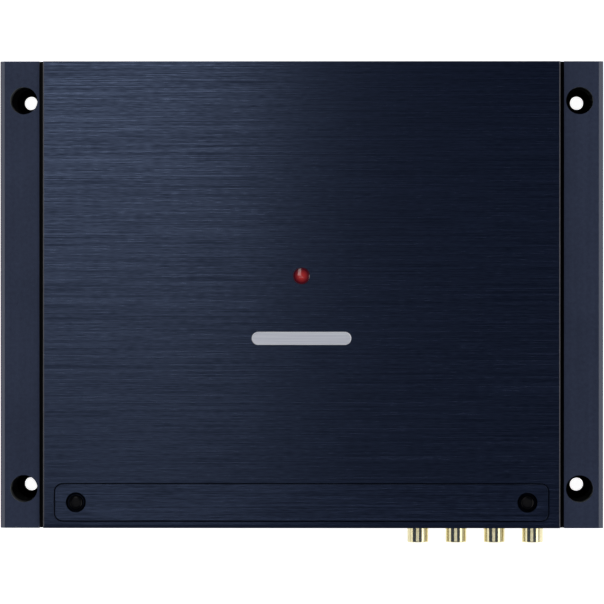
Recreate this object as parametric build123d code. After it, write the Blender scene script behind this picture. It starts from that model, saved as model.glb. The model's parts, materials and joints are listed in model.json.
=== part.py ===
"""A four-channel car power amplifier, built as the separate pieces it comes apart into.

A heatsink chassis stands between two side rails that carry the mounting holes. A brushed top
panel covers it, with a screwed-down cover over the control bay. The input end has four phono
jacks, a speaker-level socket and a remote socket. The output end has the power and speaker
terminals and two blade fuses. The boards and power parts are inside.

Frame: X to the right, Y from the input end to the output end, Z up. The origin is the centre of
the four mounting holes, on the plane that the rails stand on. Lengths are in millimetres.
"""

import os
from math import cos, radians, sin

from build123d import *

# ---------------------------------------------------------------- driving dimensions
WIDTH = 230.0  # over the side rails
DEPTH = 178.0  # top panel and rails, end to end
HEIGHT = 56.0  # mounting plane to the face of the top panel
HOLE_SPACING_X = 212.0
HOLE_SPACING_Y = 148.0
FIT = 0.1  # gap round a piece that only locates
RUNNING = 0.05  # radial gap of a shaft that turns or slides

# ---------------------------------------------------------------- casing levels and widths
PANEL_T = 3.0
PANEL_Z = (HEIGHT - PANEL_T, HEIGHT)
PANEL_HALF = 98.6
PANEL_EDGE = 0.4  # bright chamfer along the panel's sides
PANEL_BEVEL = (0.35, 1.3)  # fall and width of the bevel along the input end
DECK_T = 5.0
DECK_Z = (PANEL_Z[0] - DECK_T, PANEL_Z[0])
CHASSIS_HALF = 97.5
WALL_T = 3.5
WALL_X = (CHASSIS_HALF - WALL_T, CHASSIS_HALF)
CHASSIS_END = 84.5
BOTTOM_Z = (1.0, 2.2)
BOTTOM_CORNER_R = 1.5
END_PANEL_T = 1.5
END_FACE = CHASSIS_END + END_PANEL_T
END_PANEL_HALF = CHASSIS_HALF - 0.3
END_PANEL_Z = (BOTTOM_Z[1] + 0.2, PANEL_Z[0] - 0.2)

RAIL_TOP = 54.5
RAIL_LIP = 100.05  # the rail's inner face above the step
RAIL_STEP_Z = 50.0
RAIL_CHAMFER = 1.7
RAIL_FOOT_CHAMFER = 1.0
RAIL_SLOTS_Z = (13.0, 20.0, 27.0, 34.0, 41.0)
RAIL_SLOT_H = 3.0
RAIL_SLOT_D = 2.4
RAIL_SLOT_DRAFT = 0.4  # how far each slot narrows on each side
COUNTERBORE_R = 5.2
MOUNT_HOLE_R = 2.6
MOUNT_SEAT_Z = 6.0

# screw ports in the chassis ends, and the screws that use them
PORT_X = 91.0
PORT_Z = (6.0, DECK_Z[0] - 3.2)
PORT_R = 3.5
PORT_DEPTH = 12.0
M3_R = 1.45
M3_HOLE_R = 1.5
M4_R = 1.95
M4_HOLE_R = 2.05
RAIL_SCREW_Y = 62.0
RAIL_SCREW_Z = (17.0, 34.0)
RAIL_SCREW_DEPTH = 9.0
RAIL_SCREW_LENGTH = 11.0
CASE_SCREW_LENGTH = 9.0
FLAT_SCREW_LENGTH = 5.8
BOARD_SCREW_LENGTH = 6.0
CLAMP_SCREW_LENGTH = 9.4
TOP_SCREW_BITE = 2.0  # how far a top screw enters the panel
TOP_SCREW_DEPTH = 2.2
PILLAR_STUD = (3.6, 4.0)  # length of a pillar's stud and depth of its hole in the deck
PILLAR_TAPPED_DEPTH = 6.5
PILLAR_R = 3.0
BOTTOM_SCREW_Y = (-60.0, -20.0, 20.0, 60.0)
BOTTOM_VENT_X = 45.0
BOTTOM_VENT_Y = [-36.0 + 12.0 * i for i in range(7)]
BOTTOM_VENT = (46.0, 3.2)  # length and width of one slot

# screw heads, given as head radius, head height and the length of the cross recess
M3_PAN = (2.8, 1.8, 3.0)
M4_PAN = (3.3, 2.4, 4.0)
M3_FLAT = (2.75, 1.1, 2.6)
FLAT_SEAT_R = 2.85

# ---------------------------------------------------------------- badge and indicator
INDICATOR_Y = 7.2
INDICATOR_R = 3.1
DOME_R = 7.2
DOME_RISE = 0.85
BADGE_Y = -16.6
BADGE_SIZE = (38.0, 5.0, 0.8)
BADGE_EDGE = 0.35

# ---------------------------------------------------------------- control bay and its cover
COVER_Y = (-86.2, -72.2)
COVER_HALF = 94.1
COVER_GAP = 0.4
COVER_T = 1.6
COVER_CORNER_R = 3.0
COVER_SCREW_X = 86.1
COVER_SCREW_Y = sum(COVER_Y) / 2
DIMPLE_R = (3.85, 3.1)
DIMPLE_BOSS_R = 4.6
DIMPLE_FLOOR_Z = HEIGHT - 1.8
BUTTON_HEAD = (2.75, 1.65)  # radius and height
BUTTON_SOCKET = (1.15, 1.05)  # corner radius and depth of the hex socket
WINDOW_HALF = 79.0
WINDOW_Y = (-82.9, -73.5)
CONTROL_Y = sum(WINDOW_Y) / 2
BEZEL_TOP = DECK_Z[0] + 2.0
BEZEL_GAP = 0.2  # round the raised part that fills the window
BEZEL_FLANGE = (84.0, (-84.3, -69.0), 3.0)  # half width, depth range and thickness
BEZEL_HOLES = (82.0, -72.0)
KNOB_R = 3.7
KNOB_WELL_GAP = 0.4
KNOB_EDGE = 0.4
KNOB_SLOT = (0.6, 2.2, 1.5)  # half width, half length and depth of the screwdriver slot
KNOB_POINTER = (2.9, 0.35, 0.4)  # distance from the middle, radius and depth
FLUTES = 18
FLUTE = (0.15, 0.4, 0.8)  # centre past the rim, radius, height above the knob's foot
KNOB_Z = (43.6, BEZEL_TOP - 0.4)
KNOB_X = {
    "gain_knob_front": -66.0,
    "frequency_knob_front": -26.0,
    "gain_knob_rear": 14.0,
    "frequency_knob_rear": 54.0,
}
SWITCH_X = {"filter_switch_front": -46.0, "filter_switch_rear": 34.0, "input_mode_switch": 71.0}
SWITCH_TRAVEL = 4.0
SWITCH_CASE = (6.0, 3.0)  # half width and half depth
LEVER_SLOT = (0.5, 1.5)  # room past the lever's travel, and half width
LEVER_DISH = (1.2, 2.8, 1.2)  # reach past the slot, half width and depth
LEVER = 2.0
LEVER_FOOT_Z = 40.2
CONTROL_BOARD = (85.0, (-83.5, -62.0))  # half width and depth range
CONTROL_BOARD_Z = (36.0, 37.6)
POT_HALF = 4.8
POT_TOP = 43.0
SHAFT_R = 1.5
SHAFT_FOOT_Z = 39.6

# ---------------------------------------------------------------- boards
MAIN_BOARD_Z = (12.0, 13.6)
MAIN_BOARD_HALF = (92.5, 83.5)
PILLARS = [(-80, -50), (80, -50), (22, -50), (-80, 57), (80, 57), (-36, 57)]
CONTROL_SPACERS = [(-80, -66), (0, -66), (80, -66)]
TOP_SCREWS = [(-60, -54), (60, -54), (-84, 0), (84, 0), (-55, 68), (55, 68)]

# ---------------------------------------------------------------- input end
RCA_X = [44.4 + 14.7 * i for i in range(4)]
RCA_Z = 24.0
RCA_R = (3.5, 4.15)
RCA_NECK_R = 3.9  # outside of a barrel behind the length that a plug slides over
RCA_TIP = -(DEPTH / 2 + 6.7)
RCA_NECK_Y = RCA_TIP + 7.9
RCA_BACK = -80.0
RCA_COLLAR = (5.6, 1.4)  # radius and thickness
RCA_BLOCK_BACK = -70.0
RCA_BLOCK_TOP = 33.0
PHONO_PIN_R = 1.6
PHONO_PIN_LOOSE_R = PHONO_PIN_R + 0.25
GRIP_Y = (RCA_TIP + 4.2, RCA_TIP + 8.2)  # where a contact grips the plug's pin
CONTACT_R = 2.1  # outside of a centre contact
SPEAKER_SOCKET = (-60.0, 13.0, (17.5, 30.5))  # middle, half width and height range
SPEAKER_MOUTH = (11.5, (19.0, 29.0), -75.5)  # half width, height range and floor
SPEAKER_KEYWAY = (3.0, -78.0)  # half width and inner end
SPEAKER_BACK = -72.0
SPEAKER_FACE = -END_FACE - 0.8
REMOTE_SOCKET = (-21.5, 7.5, (15.5, 29.7))
REMOTE_MOUTH = (5.8, (18.6, 27.6), -74.0)
REMOTE_LATCH = (3.0, (16.8, 18.6), -78.0)
REMOTE_BACK = -70.0
REMOTE_FACE = -END_FACE - 0.6
REMOTE_WIRE_PITCH = 1.27
REMOTE_WIRE_HALF = 0.22
SOCKET_FOOT = (-CHASSIS_END + 0.1, 0.5)  # front of a socket's foot, and how far it runs up inside
SOCKET_Z = 24.0
PIN_HALF = 0.5
HEADER_PINS = [(dx, dz) for dz in (-2.2, 2.2) for dx in (-8.1, -2.7, 2.7, 8.1)]
VENT_COLUMNS = (-8.0, 14.0)
VENT_WIDTH = 18.0
VENT_ROWS_Z = [14.0 + 5.0 * i for i in range(6)]
VENT_HEIGHT = 2.0
CUTOUT_GAP = 0.2  # round each socket or block in an end panel

# ---------------------------------------------------------------- output end
TERMINAL_Z = (MAIN_BOARD_Z[1], 36.0)
TERMINAL_SCREW_Z = 27.5
TERMINAL_FACE = 88.0
TERMINAL_BACK = 70.0
TERMINAL_RIM = 2.0  # wall above and below each recess
CONTACT_Y = (80.4, 82.0)
BUSH_Y = 73.0
BUSH_BORE_Y = 71.5
POWER_X = [50.0, 65.0, 80.0]
SPEAKER_X = [-81.25 + 9.5 * i for i in range(8)]
# half pitch, recess half width, end wall, bush radius, screw radius
POWER_POLE = (7.5, 6.3, 0.5, 4.1, 2.55)
SPEAKER_POLE = (4.75, 3.9, 2.0, 2.5, 1.8)
# shank radius and length, head radius and height, washer size and thickness
POWER_SCREW = (2.45, 8.0, 4.2, 3.0, 10.0, 1.0)
SPEAKER_SCREW = (1.7, 7.5, 2.9, 2.3, 6.4, 0.8)
FUSE_X = 16.0
FUSE_Z = (21.0, 34.0)
FUSE_BODY = (19.1, 12.0, 5.2)
FUSE_BLADE = (5.2, 7.0, 0.7)
FUSE_BLADE_X = 6.95
FUSE_OUTER = 88.5
FUSE_HOLDER = (13.0, (66.0, 86.8), 6.0)  # half width, depth range, height past the fuses' middles
FUSE_ROOM = 0.3  # gap round a fuse in its pocket
FUSE_SLOT_Y = (67.5, 77.0)
FUSE_CLIP_Y = (67.6, 76.0)
FUSE_CLIP_HALF = 0.7
FUSE_CLIP_FLOOR_Y = 68.4
FINGER_NOTCH = (4.5, 81.5, 2.2)  # half width, inner end, height past a fuse's faces

# ---------------------------------------------------------------- power parts
TRANSISTOR_Y = [-50.0 + 20.0 * i for i in range(6)]
TRANSISTOR_T = (1.3, 4.5)  # tab, and tab with case
TRANSISTOR_HALF = 5.0
TRANSISTOR_Z = (20.0, 29.2, 35.5)  # foot, top of the case, top of the tab
LEAD_PITCH = 2.54
LEAD_X = (2.3, 2.8)  # a lead's faces, measured in from the device's back
PAD_T = 0.3
PAD_Z = (18.5, 37.0)
CLAMP_Z = (24.0, 29.0)
CLAMP_T = 2.0
CLAMP_X = (WALL_X[0] - PAD_T - TRANSISTOR_T[1] - CLAMP_T, WALL_X[0] - PAD_T - TRANSISTOR_T[1])
CLAMP_HALF_Y = 57.0
CLAMP_SCREW_Y = (-40.0, -20.0, 20.0, 40.0)
CLAMP_SCREW_Z = 26.5
TRANSFORMER_XY = (48.0, 6.0)
CORE_R = (10.5, 19.0)
CORE_LIFT = (3.5, 19.5)  # core's faces above the main board
WINDING_R = (7.0, 22.5)
WINDING_LIFT = (0.5, 22.5)
CAPACITORS = [(-6, y, 9.0, 27.5) for y in (-32, -10, 12, 34)] + [(x, 46, 8.0, 25.0) for x in (40, 58)]
INDUCTORS = [(-56, -34), (-56, -10), (-56, 14), (-56, 38)]
INDUCTOR_SIZE = (18.0, 17.0)  # side and height


# ---------------------------------------------------------------- shape helpers
def block(x, y, z):
    """A block between two corners, with each range given as (low, high)."""
    size = [high - low for low, high in (x, y, z)]
    middle = [(low + high) / 2 for low, high in (x, y, z)]
    return Pos(*middle) * Box(*size)


def rod_x(x, y, z, r):
    return Pos(sum(x) / 2, y, z) * Rot(Y=90) * Cylinder(r, x[1] - x[0])


def rod_y(x, y, z, r):
    return Pos(x, sum(y) / 2, z) * Rot(X=90) * Cylinder(r, y[1] - y[0])


def rod_z(x, y, z, r):
    return Pos(x, y, sum(z) / 2) * Cylinder(r, z[1] - z[0])


def cone_z(x, y, z, r_low, r_high):
    return Pos(x, y, sum(z) / 2) * Cone(r_low, r_high, z[1] - z[0])


def slab(half_x, y, z, corner_r):
    """A plate centred on X with round vertical corners."""
    outline = Pos(0, sum(y) / 2, z[0]) * RectangleRounded(2 * half_x, y[1] - y[0], corner_r)
    return extrude(outline, z[1] - z[0])


def mirrored(solid):
    return solid.mirror(Plane.YZ)


def save(name, *pieces):
    """Writes one node, with each of its solids kept separate."""
    solids = [solid for piece in pieces for solid in piece.solids()]
    export_step(Compound(children=solids), f"parts/{name}.step")


def pan_screw(r, length, head_r, head_h, cross):
    """A pan-head screw with a cross recess: its seat at the origin, its shank along -Z."""
    head = Pos(0, 0, head_h / 2) * Cylinder(head_r, head_h)
    head = fillet(head.edges().group_by(Axis.Z)[-1], head_h * 0.45)
    shank = Pos(0, 0, -length / 2) * Cylinder(r, length)
    shank = chamfer(shank.edges().group_by(Axis.Z)[0], r * 0.3)
    screw = head + shank
    for turn in (0, 90):
        slot = Box(cross, cross * 0.24, head_h)
        screw -= Pos(0, 0, head_h) * Rot(Z=turn) * slot
    return screw


# ---------------------------------------------------------------- casing
def side_rail():
    """The right-hand rail: a stepped bar with slots along its outer side and two deep holes."""
    outer = WIDTH / 2
    points = [(CHASSIS_HALF, 0), (outer - RAIL_FOOT_CHAMFER, 0), (outer, RAIL_FOOT_CHAMFER)]
    for middle in RAIL_SLOTS_Z:
        low, high = middle - RAIL_SLOT_H / 2, middle + RAIL_SLOT_H / 2
        floor = outer - RAIL_SLOT_D
        points += [(outer, low), (floor, low + RAIL_SLOT_DRAFT)]
        points += [(floor, high - RAIL_SLOT_DRAFT), (outer, high)]
    points += [(outer, RAIL_TOP - RAIL_CHAMFER), (outer - RAIL_CHAMFER, RAIL_TOP)]
    points += [(RAIL_LIP, RAIL_TOP), (RAIL_LIP, RAIL_STEP_Z), (CHASSIS_HALF, RAIL_STEP_Z)]
    face = Plane.XZ * make_face(Polyline(*points, close=True))
    rail = extrude(face, DEPTH / 2, both=True)
    for y in (-HOLE_SPACING_Y / 2, HOLE_SPACING_Y / 2):
        rail -= rod_z(HOLE_SPACING_X / 2, y, (MOUNT_SEAT_Z, RAIL_TOP), COUNTERBORE_R)
        rail -= rod_z(HOLE_SPACING_X / 2, y, (0, MOUNT_SEAT_Z), MOUNT_HOLE_R)
    for y in (-RAIL_SCREW_Y, RAIL_SCREW_Y):
        for z in RAIL_SCREW_Z:
            rail -= rod_x((CHASSIS_HALF, CHASSIS_HALF + RAIL_SCREW_DEPTH), y, z, M4_HOLE_R)
    return rail


def heatsink_chassis():
    """An inverted U extrusion with screw ports in its corners and a window for the controls."""
    outer = block((-CHASSIS_HALF, CHASSIS_HALF), (-CHASSIS_END, CHASSIS_END), (BOTTOM_Z[1], DECK_Z[1]))
    inner = block((-WALL_X[0], WALL_X[0]), (-CHASSIS_END, CHASSIS_END), (BOTTOM_Z[1], DECK_Z[0]))
    body = outer - inner
    for x in (-PORT_X, PORT_X):
        for z in PORT_Z:
            body += rod_y(x, (-CHASSIS_END, CHASSIS_END), z, PORT_R)
            for end in (-1, 1):
                hole = sorted((end * CHASSIS_END, end * (CHASSIS_END - PORT_DEPTH)))
                body -= rod_y(x, hole, z, M3_HOLE_R)
        for y in BOTTOM_SCREW_Y:
            body -= rod_z(x, y, (BOTTOM_Z[1], PORT_Z[0] + 2), M3_HOLE_R)
        side = 1 if x > 0 else -1
        through = sorted((side * WALL_X[0], side * WALL_X[1]))
        for y in (-RAIL_SCREW_Y, RAIL_SCREW_Y):
            for z in RAIL_SCREW_Z:
                body -= rod_x(through, y, z, M4_HOLE_R)
        for y in CLAMP_SCREW_Y:
            body -= rod_x(through, y, CLAMP_SCREW_Z, M3_HOLE_R)
        body -= rod_z(side * COVER_SCREW_X, COVER_SCREW_Y, DECK_Z, M3_R + FIT)
    body -= block((-WINDOW_HALF, WINDOW_HALF), WINDOW_Y, DECK_Z)
    body -= rod_z(0, INDICATOR_Y, DECK_Z, INDICATOR_R + FIT)
    for x, y in PILLARS + CONTROL_SPACERS:
        body -= rod_z(x, y, (DECK_Z[0], DECK_Z[0] + PILLAR_STUD[1]), M3_HOLE_R)
    for x, y in TOP_SCREWS:
        body -= rod_z(x, y, DECK_Z, M3_HOLE_R + FIT)
    return body


def top_panel():
    """The brushed panel, with the cover's recess, the control window and the indicator's hole."""
    panel = block((-PANEL_HALF, PANEL_HALF), (-DEPTH / 2, DEPTH / 2), PANEL_Z)
    upper = panel.edges().group_by(Axis.Z)[-1]
    panel = chamfer(upper.filter_by(Axis.Y), PANEL_EDGE)
    front = panel.edges().group_by(Axis.Z)[-1].sort_by(Axis.Y)[0]
    panel = chamfer(front, *PANEL_BEVEL, reference=panel.faces().sort_by(Axis.Y)[0])
    recess_y = (COVER_Y[0] - COVER_GAP, COVER_Y[1] + COVER_GAP)
    recess_z = (HEIGHT - COVER_T, HEIGHT)
    panel -= slab(COVER_HALF + COVER_GAP, recess_y, recess_z, COVER_CORNER_R + COVER_GAP)
    panel -= block((-WINDOW_HALF, WINDOW_HALF), WINDOW_Y, PANEL_Z)
    for x in (-COVER_SCREW_X, COVER_SCREW_X):
        panel -= rod_z(x, COVER_SCREW_Y, PANEL_Z, DIMPLE_BOSS_R + COVER_GAP)
    panel -= rod_z(0, INDICATOR_Y, PANEL_Z, INDICATOR_R + FIT)
    for x, y in TOP_SCREWS:
        panel -= rod_z(x, y, (PANEL_Z[0], PANEL_Z[0] + TOP_SCREW_DEPTH), M3_HOLE_R)
    return panel


def bottom_cover():
    """A flat steel cover with vent slots and countersunk screw holes."""
    cover = slab(END_PANEL_HALF, (-END_FACE, END_FACE), BOTTOM_Z, BOTTOM_CORNER_R)
    for x in (-BOTTOM_VENT_X, BOTTOM_VENT_X):
        for y in BOTTOM_VENT_Y:
            slot = Pos(x, y, BOTTOM_Z[0]) * SlotOverall(*BOTTOM_VENT)
            cover -= extrude(slot, BOTTOM_Z[1] - BOTTOM_Z[0])
    for x in (-PORT_X, PORT_X):
        for y in BOTTOM_SCREW_Y:
            cover -= cone_z(x, y, BOTTOM_Z, FLAT_SEAT_R, M3_HOLE_R + FIT)
    return cover


def end_panel(side):
    """A steel end plate and its Y range; side is -1 at the input end and 1 at the output end."""
    y = sorted((side * CHASSIS_END, side * END_FACE))
    panel = block((-END_PANEL_HALF, END_PANEL_HALF), y, END_PANEL_Z)
    for x in (-PORT_X, PORT_X):
        for z in PORT_Z:
            panel -= rod_y(x, y, z, M3_HOLE_R + FIT)
    return panel, y


def cutout(x, half, y, z):
    """A rectangular opening in an end panel, a little larger than what comes through it."""
    half += CUTOUT_GAP
    return block((x - half, x + half), y, (z[0] - CUTOUT_GAP, z[1] + CUTOUT_GAP))


def input_end_panel():
    panel, y = end_panel(-1)
    for x in RCA_X:
        panel -= rod_y(x, y, RCA_Z, RCA_NECK_R + 0.15)
    for x, half, z in (SPEAKER_SOCKET, REMOTE_SOCKET):
        panel -= cutout(x, half, y, z)
    for column in VENT_COLUMNS:
        for z in VENT_ROWS_Z:
            panel -= block((column, column + VENT_WIDTH), y, (z, z + VENT_HEIGHT))
    return panel


def output_end_panel():
    panel, y = end_panel(1)
    for xs, pole in ((POWER_X, POWER_POLE), (SPEAKER_X, SPEAKER_POLE)):
        middle = (xs[0] + xs[-1]) / 2
        panel -= cutout(middle, xs[-1] - middle + pole[0] + pole[2], y, TERMINAL_Z)
    half, _, past = FUSE_HOLDER
    panel -= cutout(FUSE_X, half, y, (FUSE_Z[0] - past, FUSE_Z[1] + past))
    return panel


def case_screws():
    """Eight end-panel screws and eight countersunk screws in the bottom cover."""
    screws = []
    pan = pan_screw(M3_R, CASE_SCREW_LENGTH, *M3_PAN)
    for side in (-1, 1):
        for x in (-PORT_X, PORT_X):
            for z in PORT_Z:
                turned = Rot(X=90) if side < 0 else Rot(X=-90)
                screws.append(Pos(x, side * END_FACE, z) * turned * pan)
    head_r, head_h, cross = M3_FLAT
    flat = cone_z(0, 0, (0, head_h), head_r, M3_R) + rod_z(0, 0, (head_h - 0.3, FLAT_SCREW_LENGTH), M3_R)
    for turn in (0, 90):
        flat -= Rot(Z=turn) * Box(cross, 0.7, 1.4)
    for x in (-PORT_X, PORT_X):
        for y in BOTTOM_SCREW_Y:
            screws.append(Pos(x, y, BOTTOM_Z[0]) * flat)
    return screws


def rail_screws():
    """Pan-head screws that hold each rail from inside the chassis."""
    screw = pan_screw(M4_R, RAIL_SCREW_LENGTH, *M4_PAN)
    right = [
        Pos(WALL_X[0], y, z) * Rot(Y=-90) * screw
        for y in (-RAIL_SCREW_Y, RAIL_SCREW_Y)
        for z in RAIL_SCREW_Z
    ]
    return right + [mirrored(s) for s in right]


# ---------------------------------------------------------------- badge and indicator
def badge_plate():
    """A plain bright bar with rounded ends, bonded to the panel."""
    length, width, height = BADGE_SIZE
    plate = extrude(Pos(0, BADGE_Y, HEIGHT) * SlotOverall(length, width), height)
    return chamfer(plate.edges().group_by(Axis.Z)[-1], BADGE_EDGE)


def indicator_lens():
    """A red lens with a low dome, on a light pipe that ends level with the underside of the deck."""
    shoulder = HEIGHT - 0.2
    stem = rod_z(0, INDICATOR_Y, (DECK_Z[0], shoulder), INDICATOR_R)
    dome = Pos(0, INDICATOR_Y, HEIGHT + DOME_RISE - DOME_R) * Sphere(DOME_R)
    keep = rod_z(0, INDICATOR_Y, (shoulder, HEIGHT + 1), INDICATOR_R)
    return stem + (dome & keep)


# ---------------------------------------------------------------- control cover and controls
def control_cover():
    """The flush cover plate, with a pressed dimple under each screw that lands on the deck."""
    cover = slab(COVER_HALF, COVER_Y, (HEIGHT - COVER_T, HEIGHT), COVER_CORNER_R)
    cover = chamfer(cover.edges().group_by(Axis.Z)[-1], 0.2)
    for x in (-COVER_SCREW_X, COVER_SCREW_X):
        boss_z = (DECK_Z[1] + 0.05, HEIGHT - COVER_T + 0.2)
        cover += rod_z(x, COVER_SCREW_Y, boss_z, DIMPLE_BOSS_R)
        cover -= cone_z(x, COVER_SCREW_Y, (DIMPLE_FLOOR_Z, HEIGHT), DIMPLE_R[1], DIMPLE_R[0])
        cover -= rod_z(x, COVER_SCREW_Y, (DECK_Z[1], HEIGHT), M3_HOLE_R + FIT)
    return cover


def cover_screws():
    """Two button-head screws with a hex socket."""
    screws = []
    for x in (-COVER_SCREW_X, COVER_SCREW_X):
        head_r, head_h = BUTTON_HEAD
        key_r, key_depth = BUTTON_SOCKET
        top = DIMPLE_FLOOR_Z + head_h
        head = rod_z(x, COVER_SCREW_Y, (DIMPLE_FLOOR_Z, top), head_r)
        head = fillet(head.edges().group_by(Axis.Z)[-1], head_h * 2 / 3)
        shank = rod_z(x, COVER_SCREW_Y, (DECK_Z[0] + 0.4, DIMPLE_FLOOR_Z), M3_R)
        key = Pos(x, COVER_SCREW_Y, top - key_depth) * RegularPolygon(key_r, 6)
        screws.append(head + shank - extrude(key, key_depth))
    return screws


def control_bezel():
    """The plastic floor of the control bay, with a well for each knob and a slot for each lever."""
    half, y, thick = BEZEL_FLANGE
    bezel = block((-half, half), y, (DECK_Z[0] - thick, DECK_Z[0]))
    raised_half = WINDOW_HALF - BEZEL_GAP
    raised_y = (WINDOW_Y[0] + BEZEL_GAP, WINDOW_Y[1] - BEZEL_GAP)
    bezel += block((-raised_half, raised_half), raised_y, (DECK_Z[0], BEZEL_TOP))
    well_z = (DECK_Z[0] - thick, BEZEL_TOP)
    for x in KNOB_X.values():
        bezel -= rod_z(x, CONTROL_Y, well_z, KNOB_R + KNOB_WELL_GAP)
    room, slot_half = LEVER_SLOT
    dish_past, dish_half, dish_depth = LEVER_DISH
    for x in SWITCH_X.values():
        reach = (SWITCH_TRAVEL + LEVER) / 2 + room
        bezel -= block((x - reach, x + reach), (CONTROL_Y - slot_half, CONTROL_Y + slot_half), well_z)
        reach += dish_past
        dish_y = (CONTROL_Y - dish_half, CONTROL_Y + dish_half)
        bezel -= block((x - reach, x + reach), dish_y, (BEZEL_TOP - dish_depth, BEZEL_TOP))
    hole_x, hole_y = BEZEL_HOLES
    for x in (-hole_x, hole_x):
        bezel -= rod_z(x, hole_y, well_z, M3_HOLE_R)
    return bezel


def knob(x):
    """A round trimmer knob with a fluted rim, a screwdriver slot, a pointer dimple and its shaft."""
    cap = rod_z(x, CONTROL_Y, KNOB_Z, KNOB_R)
    cap = chamfer(cap.edges().group_by(Axis.Z)[-1], KNOB_EDGE)
    shaft = rod_z(x, CONTROL_Y, (SHAFT_FOOT_Z, KNOB_Z[0]), SHAFT_R)
    half, reach, depth = KNOB_SLOT
    slot_y = (CONTROL_Y - reach, CONTROL_Y + reach)
    slot = block((x - half, x + half), slot_y, (KNOB_Z[1] - depth, KNOB_Z[1]))
    out, pointer_r, pointer_depth = KNOB_POINTER
    pointer = rod_z(x, CONTROL_Y + out, (KNOB_Z[1] - pointer_depth, KNOB_Z[1]), pointer_r)
    body = cap + shaft - slot - pointer
    past, flute_r, lift = FLUTE
    for i in range(FLUTES):
        angle = radians((i + 0.5) * 360 / FLUTES)
        flute = (x + (KNOB_R + past) * cos(angle), CONTROL_Y + (KNOB_R + past) * sin(angle))
        body -= rod_z(*flute, (KNOB_Z[0] + lift, KNOB_Z[1]), flute_r)
    return body


def pot_bodies():
    """The potentiometers under the knobs, each with a bore for the knob's shaft."""
    bodies = []
    for x in KNOB_X.values():
        z = (CONTROL_BOARD_Z[1], POT_TOP)
        pot = block((x - POT_HALF, x + POT_HALF), (CONTROL_Y - POT_HALF, CONTROL_Y + POT_HALF), z)
        pot = chamfer(pot.edges().filter_by(Axis.Z), 0.8)
        bore_z = (SHAFT_FOOT_Z - 0.4, POT_TOP)
        bodies.append(pot - rod_z(x, CONTROL_Y, bore_z, SHAFT_R + RUNNING))
    return bodies


def switch_bodies():
    """The slide switches' cases, each with a slot that its lever runs in."""
    bodies = []
    half_x, half_y = SWITCH_CASE
    z = (CONTROL_BOARD_Z[1], POT_TOP)
    reach = (SWITCH_TRAVEL + LEVER) / 2 + 0.3
    slot_y = (CONTROL_Y - LEVER / 2 - 0.15, CONTROL_Y + LEVER / 2 + 0.15)
    for x in SWITCH_X.values():
        case = block((x - half_x, x + half_x), (CONTROL_Y - half_y, CONTROL_Y + half_y), z)
        bodies.append(case - block((x - reach, x + reach), slot_y, (LEVER_FOOT_Z - 0.2, POT_TOP)))
    return bodies


def switch_lever(x):
    """A slide switch's lever, at the low end of its travel, with two grip grooves."""
    middle = x - SWITCH_TRAVEL / 2
    lever = block(
        (middle - LEVER / 2, middle + LEVER / 2),
        (CONTROL_Y - LEVER / 2, CONTROL_Y + LEVER / 2),
        (LEVER_FOOT_Z, BEZEL_TOP - 0.3),
    )
    for offset in (-0.5, 0.5):
        groove = (middle + offset - 0.15, middle + offset + 0.15)
        lever -= block(groove, (CONTROL_Y - LEVER, CONTROL_Y + LEVER), (BEZEL_TOP - 0.6, BEZEL_TOP))
    return lever


# ---------------------------------------------------------------- boards and their hardware
def main_board():
    half_x, half_y = MAIN_BOARD_HALF
    board = block((-half_x, half_x), (-half_y, half_y), MAIN_BOARD_Z)
    for x, y in PILLARS:
        board -= rod_z(x, y, MAIN_BOARD_Z, M3_HOLE_R + FIT)
    return board


def control_board():
    half, y = CONTROL_BOARD
    board = block((-half, half), y, CONTROL_BOARD_Z)
    for x, y in CONTROL_SPACERS:
        board -= rod_z(x, y, CONTROL_BOARD_Z, M3_HOLE_R + FIT)
    return board


def hex_pillar(x, y, z):
    """A hexagonal spacer with a stud into the deck and a tapped hole at its foot."""
    body = extrude(Pos(x, y, z[0]) * RegularPolygon(PILLAR_R, 6), z[1] - z[0])
    stud = rod_z(x, y, (z[1], z[1] + PILLAR_STUD[0]), M3_R)
    return body + stud - rod_z(x, y, (z[0], z[0] + PILLAR_TAPPED_DEPTH), M3_HOLE_R)


def board_pillars():
    pillars = [hex_pillar(x, y, (MAIN_BOARD_Z[1], DECK_Z[0])) for x, y in PILLARS]
    spacers = [hex_pillar(x, y, (CONTROL_BOARD_Z[1], DECK_Z[0])) for x, y in CONTROL_SPACERS]
    return pillars + spacers


def inner_screws():
    """Screws that hold the boards, the top panel and the transistor clamps."""
    short = pan_screw(M3_R, BOARD_SCREW_LENGTH, *M3_PAN)
    top = pan_screw(M3_R, DECK_T + TOP_SCREW_BITE, *M3_PAN)
    clamp = pan_screw(M3_R, CLAMP_SCREW_LENGTH, *M3_PAN)
    up = Rot(X=180)
    screws = [Pos(x, y, MAIN_BOARD_Z[0]) * up * short for x, y in PILLARS]
    screws += [Pos(x, y, CONTROL_BOARD_Z[0]) * up * short for x, y in CONTROL_SPACERS]
    screws += [Pos(x, y, DECK_Z[0]) * up * top for x, y in TOP_SCREWS]
    for y in CLAMP_SCREW_Y:
        right = Pos(CLAMP_X[0], y, CLAMP_SCREW_Z) * Rot(Y=-90) * clamp
        screws += [right, mirrored(right)]
    return screws


# ---------------------------------------------------------------- input end
def rca_block():
    """The moulded housing behind the four phono jacks."""
    margin = RCA_COLLAR[0]
    x_range = (RCA_X[0] - margin, RCA_X[-1] + margin - 0.1)
    housing = block(x_range, (-CHASSIS_END, RCA_BLOCK_BACK), (MAIN_BOARD_Z[1], RCA_BLOCK_TOP))
    housing = chamfer(housing.edges().filter_by(Axis.X).group_by(Axis.Z)[-1], 1.0)
    for x in RCA_X:
        housing -= rod_y(x, (-CHASSIS_END, RCA_BACK), RCA_Z, RCA_NECK_R + RUNNING)
    return housing


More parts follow.
